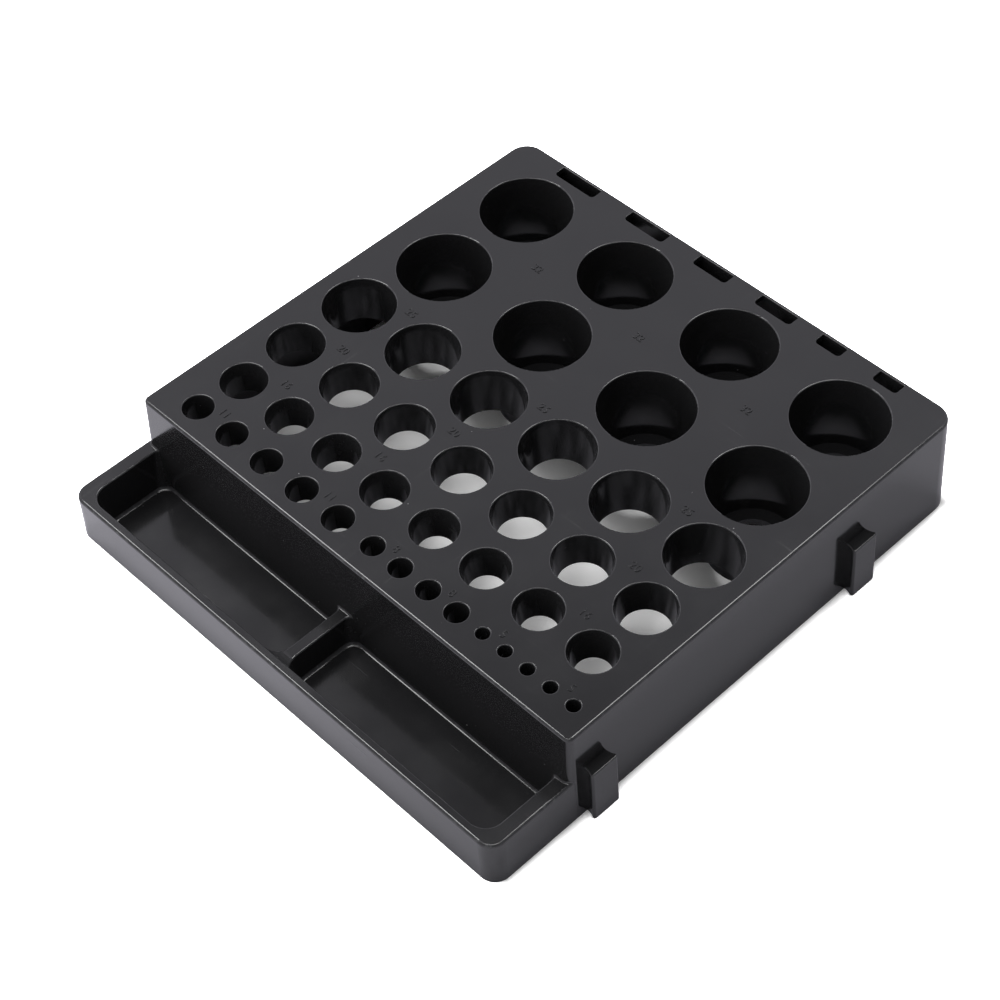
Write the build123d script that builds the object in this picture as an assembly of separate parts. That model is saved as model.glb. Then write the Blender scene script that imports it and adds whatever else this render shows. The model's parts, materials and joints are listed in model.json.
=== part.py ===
from build123d import *
import math
import os

# Collet storage box: a black moulded rack whose rows of tapered cups hang below a deck,
# with a lower tray along its front, two flared lugs on its right wall and sockets for
# the next box's lugs in its left wall. Millimetres, +Z up, +X right, +Y to the back.
# The origin is the middle of the footprint, lugs included, on the surface it stands on.

# Block that carries the cups
height = 39.2
draft = 2.4
wall = 1.5
deck_thick = 2.0
deck_round = 1.0
back_corner = 9.0
block_front_corner = 4.0

# Cups: bore at the deck, bore at the foot, depth below the deck
bore_34 = 33.2
foot_34 = 29.0
depth_34 = 28.3
bore_26 = 25.8
foot_26 = 21.9
depth_26 = 17.0
bore_21 = 20.2
foot_21 = 16.7
depth_21 = 11.25
bore_17 = 16.4
foot_17 = 12.4
depth_17 = 11.2
bore_11 = 10.9
foot_11 = 8.9
depth_11 = 10.2
bore_8 = 8.0
foot_8 = 6.6
depth_8 = 10.0
bore_5 = 4.6
foot_5 = 4.2
depth_5 = 9.0
mouth_round = 0.4
big_cup_wall = 1.7
cup_wall = 1.4
small_cup_wall = 1.2
cup_floor = 2.4
drain_34 = 19.6

# Clear gaps between neighbouring cups of one row
gap_34 = 11.5
gap_26 = 3.2
gap_21 = 4.0
gap_17 = 3.9
gap_11 = 4.0
gap_11_to_8 = 4.5
gap_8 = 2.2
gap_8_to_5 = 2.8
gap_5 = 2.6
small_row_shift = 2.4

# Clear gaps between the rows, from front to back, and from a row's end to the side wall
front_gap = 2.55
gap_11_17_rows = 2.0
gap_17_21_rows = 1.95
gap_21_26_rows = 1.67
gap_26_34_rows = 0.3
gap_34_34_rows = 3.6
side_gap = 3.4

# Slots behind the last row of cups, from left to right, and the webs between them
slot_gap = 2.0
slot_width = 4.8
slot_corner = 1.4
slot_edge = 0.3
slot_lengths = [18.6, 17.8, 15.0, 15.8, 10.4, 10.0]
slot_webs = [15.6, 14.6, 13.3, 11.2, 14.2]

# Tray along the front
tray_depth = 31.7
tray_front_corner = 5.8
rim_height = 18.7
rim_round = 1.0
rim_inner_round = 0.6
side_rim = 5.6
front_rim = 3.4
pocket_floor = 3.2
floor_thick = 2.0
pocket_front_corner = 6.5
pocket_back_corner = 5.0
rim_back_corner = 1.8
pocket_side_slope = 0.14
pocket_front_slope = 0.06
pocket_round = 1.3
wall_bite = 0.2
divider_height = 14.5
divider_top = 4.2
divider_slope = 0.1
divider_round = 0.6
divider_rise = 5.0
step_round = 0.7
skirt = 1.8

# Lugs on the right wall, and sockets of the same shape in the left wall
lug_reach = 4.1
lug_root = 9.2
lug_tip = 12.6
lug_corner = 0.8
lug_edge = 0.4
lug_top = 21.8
lug_inset = 12.0
lug_spacing = 119.5
socket_clearance = 0.35
socket_wall = 1.4
socket_top_gap = 0.8

# How far a cutting body runs past the face that it opens
past = 1.0
slope = math.tan(math.radians(draft))


class CupRow:
    """One group of like cups: how many, the cone of the bore and the wall round it."""

    def __init__(self, count, bore, foot, depth, shell, gap, drain=0.0):
        self.count = count
        self.bore = bore
        self.foot = foot
        self.depth = depth
        self.shell = shell
        self.drain = drain
        self.outer = bore / 2 + shell
        self.pitch = 2 * self.outer + gap
        self.span = (count - 1) * self.pitch + 2 * self.outer
        self.y = 0.0
        self.xs = []

    def place(self, left, y):
        """Stand the group with the outer wall of its leftmost cup at left."""
        self.y = y
        self.xs = [left + self.outer + i * self.pitch for i in range(self.count)]


cups_34_rear = CupRow(4, bore_34, foot_34, depth_34, big_cup_wall, gap_34, drain_34)
cups_34_front = CupRow(4, bore_34, foot_34, depth_34, big_cup_wall, gap_34, drain_34)
cups_26 = CupRow(6, bore_26, foot_26, depth_26, cup_wall, gap_26)
cups_21 = CupRow(7, bore_21, foot_21, depth_21, cup_wall, gap_21)
cups_17 = CupRow(8, bore_17, foot_17, depth_17, cup_wall, gap_17)
cups_11 = CupRow(5, bore_11, foot_11, depth_11, small_cup_wall, gap_11)
cups_8 = CupRow(4, bore_8, foot_8, depth_8, small_cup_wall, gap_8)
cups_5 = CupRow(5, bore_5, foot_5, depth_5, small_cup_wall, gap_5)
rows = {
    "cups_34_rear": cups_34_rear,
    "cups_34_front": cups_34_front,
    "cups_26": cups_26,
    "cups_21": cups_21,
    "cups_17": cups_17,
    "cups_11": cups_11,
    "cups_8": cups_8,
    "cups_5": cups_5,
}

# The box is as wide as its widest row needs
small_span = cups_11.span + gap_11_to_8 + cups_8.span + gap_8_to_5 + cups_5.span
slot_span = sum(slot_lengths) + sum(slot_webs)
half_spans = [small_span / 2 + abs(small_row_shift), slot_span / 2 + back_corner]
half_spans += [row.span / 2 for row in (cups_34_rear, cups_26, cups_21, cups_17)]
base_width = 2 * (max(half_spans) + side_gap + wall + height * slope)

# The box is as deep as its rows, its slots and its tray need
row_gaps = [
    (cups_11, front_gap),
    (cups_17, gap_11_17_rows),
    (cups_21, gap_17_21_rows),
    (cups_26, gap_21_26_rows),
    (cups_34_front, gap_26_34_rows),
    (cups_34_rear, gap_34_34_rows),
]
rows_depth = sum(gap + 2 * row.outer for row, gap in row_gaps)
block_depth = rows_depth + slot_gap + slot_width + 2 * (wall + height * slope)
base_depth = tray_depth + block_depth

# Places that follow
front_y = -base_depth / 2
block_front_y = front_y + tray_depth
back_y = base_depth / 2
body_x = -lug_reach / 2
left_x = body_x - base_width / 2
right_x = body_x + base_width / 2
deck_under = height - deck_thick
floor_under = pocket_floor - floor_thick
slot_back_y = back_y - height * slope - wall
slot_front_y = slot_back_y - slot_width
lug_front_y = block_front_y + lug_inset
lug_rear_y = lug_front_y + lug_spacing
far = 2 * (base_width + base_depth)

row_edge = block_front_y + height * slope + wall
for row, gap in row_gaps:
    row_edge += gap
    row.place(body_x - row.span / 2, row_edge + row.outer)
    row_edge += 2 * row.outer
small_left = body_x + small_row_shift - small_span / 2
cups_11.place(small_left, cups_11.y)
cups_8.place(small_left + cups_11.span + gap_11_to_8, cups_11.y)
cups_5.place(small_left + small_span - cups_5.span, cups_11.y)


def slab(x0, x1, y0, y1, z0, z1):
    """A plain box between two opposite corners."""
    centre = ((x0 + x1) / 2, (y0 + y1) / 2, (z0 + z1) / 2)
    return Pos(*centre) * Box(x1 - x0, y1 - y0, z1 - z0)


def rounded_plan(x0, x1, y0, y1, front_radii, back_radii):
    """A rectangle with a radius at each corner, given left then right; 0 leaves it sharp."""
    corners = [
        (x0, y0, front_radii[0], 180),
        (x1, y0, front_radii[1], 270),
        (x1, y1, back_radii[1], 0),
        (x0, y1, back_radii[0], 90),
    ]
    arcs = []
    ends = []
    for x, y, radius, angle in corners:
        if radius == 0:
            ends.append(((x, y), (x, y)))
            continue
        centre = (x + radius * (1 if x == x0 else -1), y + radius * (1 if y == y0 else -1))
        arc = CenterArc(centre, radius, angle, 90)
        arcs.append(arc)
        ends.append((arc @ 0, arc @ 1))
    sides = [Line(ends[i - 1][1], ends[i][0]) for i in range(4)]
    return make_face(arcs + sides)


def between(section, z0, z1):
    """A solid with straight sides from a section at one height to the same at another."""
    return loft([Pos(0, 0, z0) * section(z0), Pos(0, 0, z1) * section(z1)], ruled=True)


def edges_in_level(solid, z):
    """The edges that lie flat in the plane at one height."""
    edges = [(e, e.bounding_box()) for e in solid.edges()]
    return [e for e, box in edges if abs(box.min.Z - z) < 0.01 and abs(box.max.Z - z) < 0.01]


def block_section(z, inset=0.0):
    """The block's plan at one height, or that of a hollow an inset inside it."""
    lean = z * slope + inset
    front = max(block_front_corner - lean, wall / 3)
    back = max(back_corner - lean, wall / 3)
    return rounded_plan(
        left_x + lean, right_x - lean, block_front_y + lean, back_y - lean,
        (front, front), (back, back),
    )


def block_hollow_section(z):
    """The plan of the hollow inside the block's walls."""
    return block_section(z, wall)


def tray_section(z):
    """The tray's outer plan at one height; it runs back into the block's front corners."""
    lean = z * slope
    return rounded_plan(
        left_x + lean, right_x - lean, front_y, block_front_y + 0.8 * block_front_corner,
        (tray_front_corner, tray_front_corner), (0, 0),
    )


def pocket_reach(z):
    """Half the width of the tray's open space at one height."""
    return base_width / 2 - rim_height * slope - side_rim - (rim_height - z) * pocket_side_slope


def open_plan(z, x0, x1):
    """The plan of the tray's open space from x0 to x1 at one height."""
    share = (rim_height - z) / (rim_height - pocket_floor)
    back_radius = rim_back_corner + share * (pocket_back_corner - rim_back_corner)
    front = front_y + front_rim + (rim_height - z) * pocket_front_slope
    back = block_front_y + z * slope + wall_bite
    front_radii = (pocket_front_corner, pocket_front_corner)
    return rounded_plan(x0, x1, front, back, front_radii, (back_radius, back_radius))


def mouth_section(z):
    """The open space above the divider, across the whole tray."""
    return open_plan(z, body_x - pocket_reach(z), body_x + pocket_reach(z))


def pocket_section(side):
    """The plan of one pocket, as a function of height."""

    def section(z):
        near = side * (divider_top / 2 + (divider_height - z) * divider_slope)
        ends = sorted([body_x + near, body_x + side * pocket_reach(z)])
        return open_plan(z, ends[0], ends[1])

    return section


def pocket(side):
    """The hollow of one pocket below the divider's top, its floor's edges rounded."""
    hollow = between(pocket_section(side), pocket_floor, divider_height)
    return fillet(edges_in_level(hollow, pocket_floor), pocket_round)


def divider_end():
    """The rise from the divider's top to the tray's front wall, between the two pockets."""
    foot = front_y + front_rim + (rim_height - divider_height) * pocket_front_slope
    top = rim_height - rim_inner_round
    face = front_y + front_rim + rim_inner_round * pocket_front_slope
    curve = TangentArc((foot + divider_rise, divider_height), (face, top), tangent=(-1, 0))
    inside = Polyline((face, top), (foot - wall, top), (foot - wall, divider_height - wall))
    under = Polyline(inside @ 1, (foot + divider_rise, divider_height - wall), curve @ 0)
    profile = make_face([curve] + inside.edges() + under.edges())
    half = divider_top / 2 + pocket_front_corner
    rise = extrude(Plane.YZ.offset(body_x - half) * profile, 2 * half, dir=(1, 0, 0))
    return rise - [between(pocket_section(side), pocket_floor, rim_height) for side in (-1, 1)]


def round_divider(body):
    """The tray with both long edges of the divider's top rounded, up to the front wall."""
    edges = []
    for face in body.faces():
        middle = face.center()
        across = abs(middle.X - body_x) < divider_top / 4
        if across and divider_height - 0.01 < middle.Z < rim_height - rim_round:
            edges += [e for e in face.edges() if abs(e.center().X - body_x) > divider_top / 4]
    return fillet(edges, divider_round)


def side_core(side):
    """The hollow inside one side wall of the tray, open below."""
    top = rim_height - skirt
    corners = []
    for z in (floor_under - past, top):
        inner = pocket_reach(z) + skirt
        outer = base_width / 2 - z * slope - skirt
        corners += [(inner, z), (outer, z)]
    order = [corners[0], corners[1], corners[3], corners[2]]
    start = front_y + tray_front_corner + skirt
    profile = make_face(Polyline([(body_x + side * x, start, z) for x, z in order], close=True))
    return extrude(profile, block_front_y + block_front_corner / 2 - start, dir=(0, 1, 0))


def tray_body():
    """The whole tray: rim, pockets, divider and the recess under its floor."""
    body = between(tray_section, 0, rim_height)
    body -= between(mouth_section, divider_height, rim_height)
    top = body.faces().sort_by(Axis.Z)[-1]
    body = fillet(top.inner_wires()[0].edges(), rim_inner_round)
    top = body.faces().sort_by(Axis.Z)[-1]
    outer = [e for e in top.outer_wire().edges() if e.center().Y < block_front_y]
    body = fillet(outer, rim_round)
    for side in (-1, 1):
        body -= pocket(side)
        body -= side_core(side)
    recess = slab(left_x + skirt, right_x - skirt, front_y + front_rim, block_front_y, -past, floor_under)
    return round_divider(body - recess + divider_end())


def cup_bore(row, x, below=0.0):
    """The tapered bore of one cup, from above the deck to its foot or past it."""
    lean = (row.bore - row.foot) / 2 / row.depth
    top = row.bore / 2 + past * lean
    bottom = row.foot / 2 - below * lean
    tall = row.depth + past + below
    return Pos(x, row.y, height + past - tall / 2) * Cone(bottom, top, tall)


def cup(row, x):
    """One cup's wall below the deck; a deep cup has a floor with a drain hole in it."""
    lean = (row.bore - row.foot) / 2 / row.depth
    floor = cup_floor if row.drain else 0.0
    foot_z = height - row.depth - floor
    top_radius = row.outer - deck_thick * lean
    foot_radius = row.foot / 2 + row.shell
    tall = deck_under - foot_z
    body = Pos(x, row.y, foot_z + tall / 2) * Cone(foot_radius, top_radius, tall)
    if not row.drain:
        return body - cup_bore(row, x, below=past)
    drain = Pos(x, row.y, foot_z + floor / 2) * Cylinder(row.drain / 2, floor + 2 * past)
    return body - cup_bore(row, x) - drain


def cut_slots(plate):
    """The plate with its slots cut through and the slots' mouths rounded."""
    left = body_x - slot_span / 2
    for length, web in zip(slot_lengths, slot_webs + [0]):
        right = left + length
        plan = rounded_plan(
            left, right, slot_front_y, slot_back_y,
            (slot_corner, slot_corner), (slot_edge, slot_edge),
        )
        plate -= Pos(0, 0, deck_under - past) * extrude(plan, deck_thick + 2 * past)
        lip = []
        for edge in edges_in_level(plate, height):
            box = edge.bounding_box()
            across = left - slot_edge < box.min.X and box.max.X < right + slot_edge
            if across and slot_front_y - slot_edge < box.min.Y and box.max.Y < slot_back_y + slot_edge / 2:
                lip.append(edge)
        plate = fillet(lip, slot_edge)
        left = right + web
    return plate


def deck():
    """The top plate with every hole, its outer edge and the holes' mouths rounded."""
    plate = between(block_section, deck_under, height)
    plate = fillet(edges_in_level(plate, height), min(deck_round, wall - 1.5 * slot_edge))
    for row in rows.values():
        plate -= [cup_bore(row, x) for x in row.xs]
    rings = [e for e in edges_in_level(plate, height) if e.geom_type == GeomType.CIRCLE]
    plate = fillet([e for e in rings if e.is_closed], mouth_round)
    return cut_slots(plate)


def deck_strips():
    """The deck, parted half way between the rows of cups."""
    whole = deck()
    names = ["slots", "34_rear", "34_front", "26", "21", "17", "small"]
    order = [row for row, gap in reversed(row_gaps)]
    lines = [far, (slot_front_y + cups_34_rear.y + bore_34 / 2) / 2]
    for row, next_row in zip(order, order[1:]):
        lines.append((row.y - row.bore / 2 + next_row.y + next_row.bore / 2) / 2)
    lines.append(-far)
    strips = {}
    for i, name in enumerate(names):
        space = slab(-far, far, lines[i + 1], lines[i], 0, height + past)
        strips["deck_strip_" + name] = whole & space
    return strips


def lug_plan(wall_x, grow=0.0):
    """Plan of a lug: it leaves the wall square and flares to a wider tip."""
    root = lug_root / 2 + grow
    tip = lug_tip / 2 + grow
    tip_x = wall_x + lug_reach + grow
    rear_flank = TangentArc((wall_x, root), (tip_x, tip), tangent=(1, 0))
    front_flank = TangentArc((wall_x, -root), (tip_x, -tip), tangent=(1, 0))
    tip_line = Line((tip_x, tip), (tip_x, -tip))
    root_line = Line((wall_x, root), (wall_x, -root))
    return make_face([rear_flank, tip_line, front_flank, root_line])


def lug(y):
    """One lug on the right wall, leaning with it, its tip's corners and top rounded."""

    def section(z):
        return lug_plan(right_x - z * slope)

    body = between(section, 0, lug_top)
    tip_x = right_x + lug_reach - lug_top / 2 * slope
    upright = [e for e in body.edges() if abs(e.center().X - tip_x) < lug_edge and e.length > lug_top / 2]
    body = fillet(upright, lug_corner)
    root_x = right_x - lug_top * slope
    brim = [e for e in edges_in_level(body, lug_top) if e.center().X > root_x + lug_edge / 2]
    return Pos(0, y, 0) * fillet(brim, lug_edge)


def socket_hollow(y):
    """The space in the left wall that the next box's lug goes up into from below."""

    def section(z):
        return lug_plan(left_x - z * slope, socket_clearance)

    return Pos(0, y, 0) * between(section, -past, lug_top + socket_top_gap)


def socket_case(y):
    """The wall round one socket, inside the left wall."""
    half = max(lug_root, lug_tip) / 2 + socket_clearance + socket_wall
    deep = left_x + lug_reach + socket_clearance + socket_wall
    top = lug_top + socket_top_gap + socket_wall
    body = slab(left_x, deep, y - half, y + half, 0, top)
    body &= between(block_hollow_section, -past, top + past)
    return body - socket_hollow(y)


def step_edges(body):
    """Where the rim's top meets the block; the rounding runs on along the foot of the wall."""
    wall_y = block_front_y + rim_height * slope
    inner = []
    for edge in edges_in_level(body, rim_height):
        box = edge.bounding_box()
        if wall_y - wall_bite / 2 < box.min.Y and box.max.Y < wall_y + block_front_corner / 2:
            inner.append(edge)
    return inner


def moulding():
    """The block's four walls and the tray, still in one piece."""
    outside = between(block_section, -past, deck_under)
    walls = between(block_section, 0, deck_under)
    walls -= between(block_hollow_section, -past, deck_under + past)
    body = walls + (tray_body() - outside)
    body = fillet(step_edges(body), step_round)
    for y in (lug_front_y, lug_rear_y):
        body -= socket_hollow(y)
    return body


def parted_walls(body):
    """The walls and the tray, parted at their corners and along the foot of the block."""
    tray_line = block_front_y - pocket_round
    front_line = block_front_y + block_front_corner
    rear_line = back_y - back_corner
    corner_line = front_y + front_rim + pocket_front_corner
    reach = pocket_reach(pocket_floor) - pocket_round
    divider_x = divider_top / 2 + divider_height * divider_slope + pocket_round
    left_in = body_x - reach
    right_in = body_x + reach
    spaces = {
        "wall_rear": (-far, far, rear_line, far),
        "wall_left": (-far, body_x, front_line, rear_line),
        "wall_right": (body_x, far, front_line, rear_line),
        "wall_front": (-far, far, tray_line, front_line),
        "tray_wall_front": (-far, far, -far, corner_line),
        "tray_wall_left": (-far, left_in, corner_line, tray_line),
        "tray_wall_right": (right_in, far, corner_line, tray_line),
        "tray_floor_left": (left_in, body_x - divider_x, corner_line, tray_line),
        "tray_floor_right": (body_x + divider_x, right_in, corner_line, tray_line),
        "tray_divider": (body_x - divider_x, body_x + divider_x, corner_line, tray_line),
    }
    return {name: body & slab(*space, -past, height) for name, space in spaces.items()}


def build_nodes():
    """Every node of the box, by name."""
    nodes = deck_strips()
    for name, row in rows.items():
        nodes[name] = Compound(children=[cup(row, x) for x in row.xs])
    nodes.update(parted_walls(moulding()))
    nodes["lug_front"] = lug(lug_front_y)
    nodes["lug_rear"] = lug(lug_rear_y)
    nodes["socket_front"] = socket_case(lug_front_y)
    nodes["socket_rear"] = socket_case(lug_rear_y)
    return nodes


os.makedirs("parts", exist_ok=True)
for name, node in build_nodes().items():
    export_step(node, f"parts/{name}.step")
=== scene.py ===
import json
import math

import bmesh
import bpy
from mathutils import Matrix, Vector

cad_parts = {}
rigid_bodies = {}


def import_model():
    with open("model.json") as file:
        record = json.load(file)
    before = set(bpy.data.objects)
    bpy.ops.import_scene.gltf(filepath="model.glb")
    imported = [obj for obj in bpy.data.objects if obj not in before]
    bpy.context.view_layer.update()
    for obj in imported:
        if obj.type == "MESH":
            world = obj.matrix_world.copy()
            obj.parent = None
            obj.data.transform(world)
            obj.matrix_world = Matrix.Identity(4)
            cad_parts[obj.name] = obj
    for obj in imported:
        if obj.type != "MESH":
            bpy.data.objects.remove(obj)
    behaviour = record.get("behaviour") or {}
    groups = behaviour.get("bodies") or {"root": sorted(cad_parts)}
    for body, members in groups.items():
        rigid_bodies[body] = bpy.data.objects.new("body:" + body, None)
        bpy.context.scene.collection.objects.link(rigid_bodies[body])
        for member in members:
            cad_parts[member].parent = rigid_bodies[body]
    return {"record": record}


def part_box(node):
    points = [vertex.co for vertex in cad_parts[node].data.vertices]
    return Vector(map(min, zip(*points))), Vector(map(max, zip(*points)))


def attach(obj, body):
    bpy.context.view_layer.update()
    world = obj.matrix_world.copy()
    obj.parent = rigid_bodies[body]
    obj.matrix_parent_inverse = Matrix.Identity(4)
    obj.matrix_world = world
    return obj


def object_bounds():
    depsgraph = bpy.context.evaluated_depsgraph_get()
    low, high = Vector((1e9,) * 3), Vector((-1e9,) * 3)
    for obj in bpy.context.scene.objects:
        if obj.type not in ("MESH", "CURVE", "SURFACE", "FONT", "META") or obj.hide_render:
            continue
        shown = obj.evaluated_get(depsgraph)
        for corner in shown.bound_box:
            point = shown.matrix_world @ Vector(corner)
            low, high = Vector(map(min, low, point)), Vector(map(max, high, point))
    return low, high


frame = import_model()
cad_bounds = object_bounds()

# Collet storage box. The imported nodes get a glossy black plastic, and each row of cups
# gets plain numbers, raised on the deck. Metres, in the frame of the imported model.

MM = 0.001
NODES = [entry["node"] for entry in frame["record"]["subparts"]]

# Camera, as in the photograph
CAMERA_AT = (380.22 * MM, -349.5 * MM, 605.96 * MM)
CAMERA_TURN = (40.783, 2.068, 45.675)
CAMERA_LENS = 85.3
CAMERA_SENSOR = 36

# Soft oblong lamps: place, size and power
LAMPS = {
    "lamp_left": ((-1.5, 0.1, 2.57), (1.0, 0.8), 31),
    "lamp_back": ((-0.2, 1.35, 2.67), (0.9, 0.8), 22),
    "lamp_top": ((0.1, -0.1, 3.0), (1.6, 0.5), 22),
}

# Studio as the plastic mirrors it: a white back wall between a dim ceiling and a dim front.
# Heights and directions are parts of a unit vector.
BACKDROP_TOWARDS = (-0.73, 0.68, 0.0)
BACKDROP_WHITE = 0.79
CEILING_GREY = 0.1
CEILING_BETWEEN = (0.72, 0.88)
FRONT_SHARE = 0.22
FRONT_BETWEEN = (0.15, 0.75)
COOL = (0.925, 0.91, 1.0, 1)

# Studio as a source of light: soft, and brightest from the front left
SKY_TOWARDS = (-0.68, -0.73, 0.0)
SKY_BETWEEN = (-0.2, 0.9)
SKY_DIM = 0.15
SKY_BRIGHT = 1.5

# Floor: its grey to light, in reflections and to the camera, beside the box and under it. In
# reflections it is painted lighter to the left, darker to the right and darker under the box: painted
# light and shade.
FLOOR_REACH = 3.0
FLOOR_GREY = 0.9
FLOOR_MIRRORED_LIT_LEFT = 1.13
FLOOR_MIRRORED_SHADED_RIGHT = 0.68
FLOOR_MIRRORED_BETWEEN = (-40 * MM, 110 * MM)
FLOOR_MIRRORED_SHADED_UNDER = 0.6
FLOOR_SEEN = 3.6
FOOTPRINT_EDGE = 5 * MM

# Pool of light on the floor below the open cups
POOL_AT = (20 * MM, -10 * MM)
POOL_SIZE = (60 * MM, 30 * MM)
POOL_SEEN = 0.3

# Raised numbers on the deck, in millimetres: digits, and the places of each row
NUMBER_TALL = 3.0
NUMBER_CORE = 0.17
NUMBER_BEVEL = 0.05
NUMBER_SUNK = 0.02
NUMBER_MERGE = 0.001
DIGIT_SHARE = 0.7
NUMBERS = {
    "numbers_32": ("32", [(-50.15, 60.2), (-2.05, 60.2), (46.05, 60.2)]),
    "numbers_25": ("25", [(-65.6, 15.2), (-2.0, 15.2), (61.6, 15.2)]),
    "numbers_20": ("20", [(-69.5, -12.4), (-15.5, -12.4), (65.5, -12.4)]),
    "numbers_16": ("16", [(-71.3, -36.2), (-25.1, -36.2), (67.2, -36.2)]),
    "numbers_11": ("11", [(-76.0, -58.9), (-24.1, -58.9)]),
    "numbers_8": ("8", [(7.1, -58.9), (32.3, -58.9)]),
    "numbers_5": ("5", [(54.9, -58.9), (83.7, -58.9)]),
}

# Plastic: colours
BLACK = (0.011, 0.011, 0.0118, 1)
BLACK_CLOUDED = (0.016, 0.016, 0.017, 1)
# Lighter grey for the edges: partly wear, partly painted highlight.
WORN_AND_HIGHLIGHT = (0.06, 0.06, 0.064, 1)
RUBBED = (0.03, 0.03, 0.032, 1)
DUSTY = (0.16, 0.16, 0.165, 1)
PLASTIC_IOR = 1.53

# Plastic: noises, as scale and detail
CLOUD_NOISE = (45, 4)
GRAIN_NOISE = (1400, 2)
SWELL_NOISE = (70, 1)
FLECK_NOISE = (420, 3)
STREAK_NOISE = (1, 3)
STREAKS = [(25, (14, 900, 900)), (-60, (900, 16, 900))]
DUST_CELLS = 260
DUST_KEPT = 0.94

# Plastic: where each kind of mark begins and is full
STREAK_BETWEEN = (0.66, 0.74)
SCUFFED_BETWEEN = (0.48, 0.62)
DUST_BETWEEN = (0.07, 0.035)
EDGE_BELOW = (0.995, 0.95)
EDGE_ABOVE = (0.12, 0.4)
NICK_BETWEEN = (0.48, 0.68)

# Plastic: roughness, and what each mark adds to it
ROUGH_BETWEEN = (0.3, 0.7)
ROUGH_LEAST = 0.09
ROUGH_MOST = 0.15
ROUGHER = {"grain": 0.03, "scuff": 0.12, "dust": 0.5, "edge": 0.03, "nick": 0.1}

# Plastic: how much of its colour each mark lends
# The edges' share is partly wear and partly painted highlight.
EDGE_WEAR_AND_HIGHLIGHT = 0.4
NICK_WEAR = 0.3
SCUFF_WEAR = 0.25

# Plastic: height of each mark, in millimetres
RAISED = {"grain": 0.0012, "swell": 0.03, "dust": 0.03, "scuff": -0.001, "nick": -0.006}


class Tree:
    """A node tree that is filled by short calls."""

    def __init__(self, owner):
        owner.use_nodes = True
        self.tree = owner.node_tree
        self.tree.nodes.clear()

    def add(self, kind, *inputs, **settings):
        """A node with its settings, and its inputs in order as values or sockets, None to skip."""
        node = self.tree.nodes.new("ShaderNode" + kind)
        for name, value in settings.items():
            setattr(node, name, value)
        for socket, value in zip(node.inputs, inputs):
            self.feed(socket, value)
        return node

    def feed(self, socket, value):
        """Links a socket to an input, or sets its value."""
        if isinstance(value, bpy.types.NodeSocket):
            self.tree.links.new(value, socket)
        elif value is not None:
            socket.default_value = value

    def math(self, operation, *inputs):
        return self.add("Math", *inputs, operation=operation).outputs[0]

    def mix(self, share, low, high):
        """One colour that gives way to another."""
        return self.add("MixRGB", share, low, high).outputs[0]

    def ramp(self, value, between, to_low=0.0, to_high=1.0):
        """A smooth step from one value to another."""
        node = self.add("MapRange", value, *between, to_low, to_high, interpolation_type="SMOOTHSTEP")
        return node.outputs[0]

    def blend(self, share, low, high):
        """One value that gives way to another."""
        return self.add("MapRange", share, 0.0, 1.0, low, high).outputs[0]

    def dot(self, vector, towards):
        node = self.add("VectorMath", vector, Vector(towards), operation="DOT_PRODUCT")
        return node.outputs["Value"]

    def noise(self, place, scale, detail):
        node = self.add("TexNoise", place)
        node.inputs["Scale"].default_value = scale
        node.inputs["Detail"].default_value = detail
        return node.outputs["Fac"]

    def pile(self, start, layers, shares):
        """A value with every layer added to it, times the layer's share."""
        for name, share in shares.items():
            start = self.math("ADD", start, self.math("MULTIPLY", layers[name], share))
        return start

    def cool(self):
        """White, or the studio's faint blue where it is seen in the plastic."""
        mirrored = self.add("LightPath").outputs["Is Glossy Ray"]
        return self.mix(mirrored, (1, 1, 1, 1), COOL)

    def by_ray(self, plain, mirrored, straight):
        """One value for light, one in reflections, and one for the camera and through glass."""
        path = self.add("LightPath").outputs
        glossy = self.blend(path["Is Glossy Ray"], plain, mirrored)
        direct = self.math("MAXIMUM", path["Is Camera Ray"], path["Is Transmission Ray"])
        return self.blend(direct, glossy, straight)


def place_in_scene(name, data):
    """A new object in the scene."""
    holder = bpy.data.objects.new(name, data)
    bpy.context.scene.collection.objects.link(holder)
    return holder


def build_camera():
    """The photograph's camera."""
    camera = bpy.data.cameras.new("camera")
    camera.sensor_width = CAMERA_SENSOR
    camera.lens = CAMERA_LENS
    holder = place_in_scene("camera", camera)
    holder.location = CAMERA_AT
    holder.rotation_euler = [math.radians(turn) for turn in CAMERA_TURN]
    bpy.context.scene.camera = holder


def area_light(name, at, size, power):
    """One soft oblong lamp that looks at the middle of the box."""
    lamp = bpy.data.lights.new(name, "AREA")
    lamp.shape = "RECTANGLE"
    lamp.size, lamp.size_y = size
    lamp.energy = power
    holder = place_in_scene(name, lamp)
    holder.location = at
    holder.rotation_euler = (-Vector(at)).to_track_quat("-Z", "Y").to_euler()


def build_world():
    """A white studio that lights softly and shows in the plastic as a back wall."""
    world = bpy.data.worlds.new("studio")
    bpy.context.scene.world = world
    tree = Tree(world)
    ray = tree.add("TexCoord").outputs["Generated"]
    up = tree.add("SeparateXYZ", ray).outputs["Z"]
    flat = tree.add("VectorMath", ray, (1, 1, 0), operation="MULTIPLY").outputs[0]
    level = tree.add("VectorMath", flat, operation="NORMALIZE").outputs[0]
    wall = tree.ramp(up, CEILING_BETWEEN, BACKDROP_WHITE, CEILING_GREY)
    facing = tree.ramp(tree.dot(level, BACKDROP_TOWARDS), FRONT_BETWEEN, FRONT_SHARE, 1.0)
    backdrop = tree.math("MULTIPLY", wall, facing)
    sky = tree.ramp(tree.dot(ray, SKY_TOWARDS), SKY_BETWEEN, SKY_DIM, SKY_BRIGHT)
    white = tree.add("Background", tree.cool(), tree.by_ray(sky, backdrop, 1.0))
    tree.add("OutputWorld", white.outputs[0])


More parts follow.
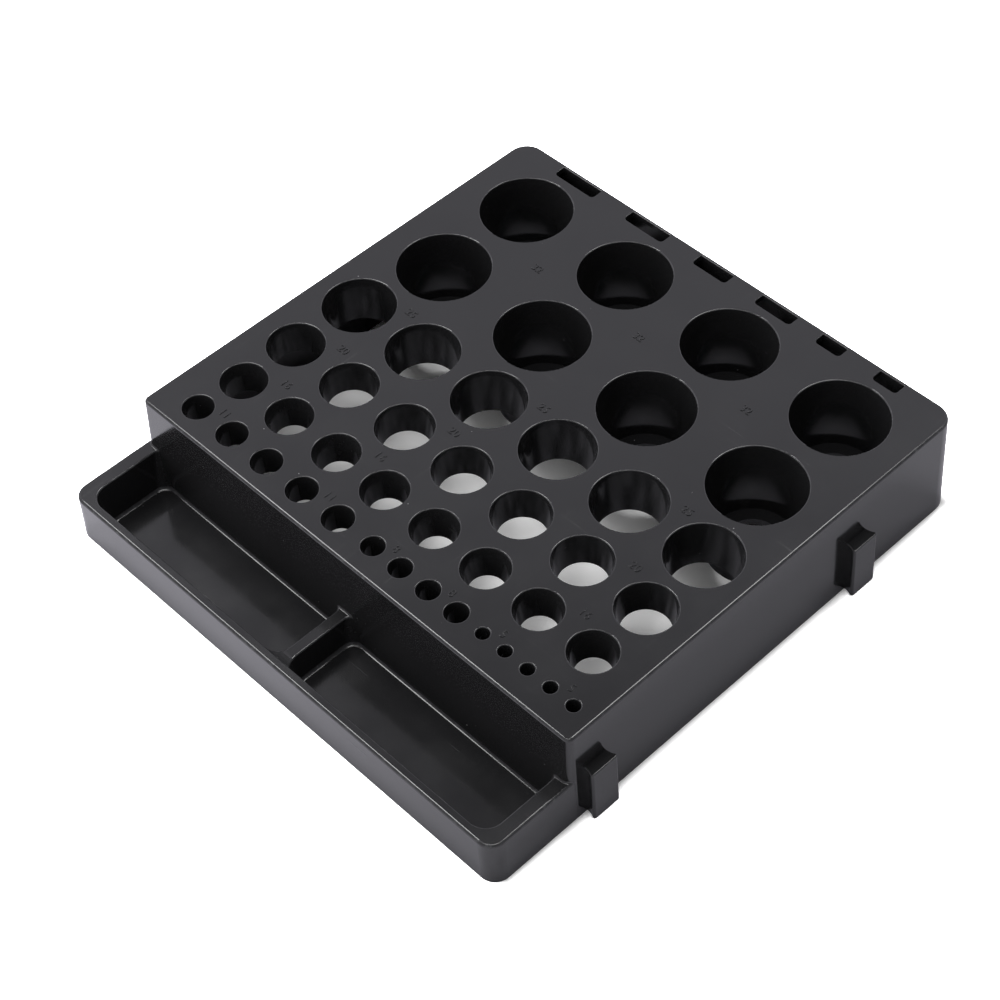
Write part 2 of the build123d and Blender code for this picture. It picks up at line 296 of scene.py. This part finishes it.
def under_box(tree, place):
    """One under the box's footprint, and nothing beside it."""
    low, high = cad_bounds
    under = 1.0
    for axis, name in enumerate("XY"):
        middle = (low[axis] + high[axis]) / 2
        half = (high[axis] - low[axis]) / 2
        off = tree.math("ABSOLUTE", tree.math("SUBTRACT", place[name], middle))
        under = tree.math("MULTIPLY", under, tree.ramp(off, (half, half - FOOTPRINT_EDGE)))
    return under


def light_pool(tree, place):
    """A soft oval pool of light."""
    spread = 0.0
    for name, middle, size in zip("XY", POOL_AT, POOL_SIZE):
        off = tree.math("DIVIDE", tree.math("SUBTRACT", place[name], middle), size)
        spread = tree.math("ADD", spread, tree.math("POWER", off, 2.0))
    return tree.math("EXPONENT", tree.math("MULTIPLY", spread, -1.0))


def build_floor():
    """A pale floor that keeps the box's shadow, with a pool of light under the open cups, and painted
    light and shade in reflections: lighter to the left, darker to the right and under the box.
    """
    mesh = bpy.data.meshes.new("floor")
    corners = [(x * FLOOR_REACH, y * FLOOR_REACH, 0) for x, y in ((-1, -1), (1, -1), (1, 1), (-1, 1))]
    mesh.from_pydata(corners, [], [(0, 1, 2, 3)])
    floor = place_in_scene("floor", mesh)
    material = bpy.data.materials.new("floor")
    tree = Tree(material)
    place = tree.add("SeparateXYZ", tree.add("TexCoord").outputs["Object"]).outputs

    # Painted light and shade, seen in reflections only: the floor lighter to the left, darker to the
    # right.
    mirrored = tree.ramp(place["X"], FLOOR_MIRRORED_BETWEEN, FLOOR_MIRRORED_LIT_LEFT, FLOOR_MIRRORED_SHADED_RIGHT)
    beside = tree.by_ray(FLOOR_GREY, mirrored, FLOOR_SEEN)
    # Painted shade, seen in reflections only: the floor darker under the box.
    below = tree.by_ray(FLOOR_GREY, FLOOR_MIRRORED_SHADED_UNDER, FLOOR_GREY)
    colour = tree.add("VectorMath", tree.cool(), operation="SCALE")
    tree.feed(colour.inputs["Scale"], tree.blend(under_box(tree, place), beside, below))
    lit = tree.add("BsdfDiffuse", colour.outputs[0])

    strength = tree.math("MULTIPLY", light_pool(tree, place), tree.by_ray(0.0, 0.0, POOL_SEEN))
    glow = tree.add("Emission", (1, 1, 1, 1), strength)
    both = tree.add("AddShader", lit.outputs[0], glow.outputs[0])
    tree.add("OutputMaterial", both.outputs[0])
    mesh.materials.append(material)


def number_shape(digits):
    """The mesh of one number, about its own middle, with bevelled edges."""
    curve = bpy.data.curves.new("number", "FONT")
    curve.body = digits
    curve.align_x = "CENTER"
    curve.align_y = "CENTER"
    curve.size = NUMBER_TALL * MM / DIGIT_SHARE
    curve.extrude = NUMBER_CORE * MM / 2
    curve.bevel_depth = NUMBER_BEVEL * MM
    curve.bevel_resolution = 1
    curve.offset = -NUMBER_BEVEL * MM
    curve.resolution_u = 4
    holder = place_in_scene("number", curve)
    bpy.context.view_layer.update()
    shown = holder.evaluated_get(bpy.context.evaluated_depsgraph_get())
    shape = bpy.data.meshes.new_from_object(shown)
    bpy.data.objects.remove(holder)
    bpy.data.curves.remove(curve)
    return shape


def raised_numbers(name, digits, places, deck, material):
    """One row's plain numbers, raised on the deck and joined into one piece."""
    shape = number_shape(digits)
    foot = deck - NUMBER_SUNK * MM
    joined = bmesh.new()
    for x, y in places:
        start = len(joined.verts)
        joined.from_mesh(shape)
        joined.verts.ensure_lookup_table()
        moved = joined.verts[start:]
        lift = foot - min(vert.co.z for vert in moved)
        bmesh.ops.translate(joined, verts=moved, vec=(x * MM, y * MM, lift))
    bmesh.ops.remove_doubles(joined, verts=joined.verts, dist=NUMBER_MERGE * MM)
    bmesh.ops.recalc_face_normals(joined, faces=joined.faces)
    mesh = bpy.data.meshes.new(name)
    joined.to_mesh(mesh)
    joined.free()
    bpy.data.meshes.remove(shape)
    mesh.materials.append(material)
    piece = place_in_scene(name, mesh)
    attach(piece, "root")


def plastic_marks(tree, place):
    """The plastic's noises and marks by name, each from 0 to 1."""
    cloud = tree.noise(place, *CLOUD_NOISE)

    # Fine scuffs: thin streaks of stretched noise in two directions
    streaks = []
    for turn, stretch in STREAKS:
        laid = tree.add("Mapping", place, None, (0, 0, math.radians(turn)), stretch)
        streak = tree.noise(laid.outputs[0], *STREAK_NOISE)
        streaks.append(tree.ramp(streak, STREAK_BETWEEN))
    scuff = tree.math("MULTIPLY", tree.math("MAXIMUM", *streaks), tree.ramp(cloud, SCUFFED_BETWEEN))

    # Dust: small grains, a few to the square centimetre
    cell = tree.add("TexVoronoi", place)
    cell.inputs["Scale"].default_value = DUST_CELLS
    chance = tree.add("SeparateColor", cell.outputs["Color"]).outputs[0]
    speck = tree.ramp(cell.outputs["Distance"], DUST_BETWEEN)
    dust = tree.math("MULTIPLY", speck, tree.math("GREATER_THAN", chance, DUST_KEPT))

    # Edge wear and painted highlight: lighter on the roundings, where the surface turns from flat to
    # upright, partly as wear and partly as a painted highlight along the rims
    lean = tree.add("SeparateXYZ", tree.add("NewGeometry").outputs["Normal"]).outputs["Z"]
    edge = tree.math("MULTIPLY", tree.ramp(lean, EDGE_BELOW), tree.ramp(lean, EDGE_ABOVE))
    nick = tree.math("MULTIPLY", edge, tree.ramp(tree.noise(place, *FLECK_NOISE), NICK_BETWEEN))

    return {
        "cloud": cloud,
        "grain": tree.noise(place, *GRAIN_NOISE),
        "swell": tree.noise(place, *SWELL_NOISE),
        "scuff": scuff,
        "dust": dust,
        "edge": edge,
        "nick": nick,
    }


def gloss_plastic():
    """Black moulded plastic: glossy and faintly wavy, with light scuffs, dust, and lighter edges that
    are partly from use and partly painted highlight.
    """
    material = bpy.data.materials.new("black_plastic")
    tree = Tree(material)
    marks = plastic_marks(tree, tree.add("TexCoord").outputs["Object"])

    black = tree.mix(marks["cloud"], BLACK, BLACK_CLOUDED)
    # Edges and nicks lighter: wear, and on the edges also painted highlight.
    wear_and_highlight = tree.pile(0.0, marks, {"edge": EDGE_WEAR_AND_HIGHLIGHT, "nick": NICK_WEAR})
    worn_and_highlit = tree.mix(wear_and_highlight, black, WORN_AND_HIGHLIGHT)
    rubbed = tree.mix(tree.math("MULTIPLY", marks["scuff"], SCUFF_WEAR), worn_and_highlit, RUBBED)
    colour = tree.mix(marks["dust"], rubbed, DUSTY)

    rough = tree.ramp(marks["cloud"], ROUGH_BETWEEN, ROUGH_LEAST, ROUGH_MOST)
    rough = tree.pile(rough, marks, ROUGHER)

    height = tree.pile(0.0, marks, {name: raised * MM for name, raised in RAISED.items()})
    bump = tree.add("Bump")
    bump.inputs["Distance"].default_value = 1.0
    tree.feed(bump.inputs["Height"], height)

    shader = tree.add("BsdfPrincipled")
    tree.feed(shader.inputs["Base Color"], colour)
    tree.feed(shader.inputs["Roughness"], rough)
    tree.feed(shader.inputs["Normal"], bump.outputs[0])
    shader.inputs["IOR"].default_value = PLASTIC_IOR
    tree.add("OutputMaterial", shader.outputs[0])
    return material


bpy.context.scene.view_settings.view_transform = "Standard"
build_camera()
build_world()
build_floor()
for name, (at, size, power) in LAMPS.items():
    area_light(name, at, size, power)
plastic = gloss_plastic()
for name in NODES:
    for slot in bpy.data.objects[name].material_slots:
        slot.material = plastic
deck_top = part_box("deck_strip_26")[1][2]
for name, (digits, places) in NUMBERS.items():
    raised_numbers(name, digits, places, deck_top, plastic)
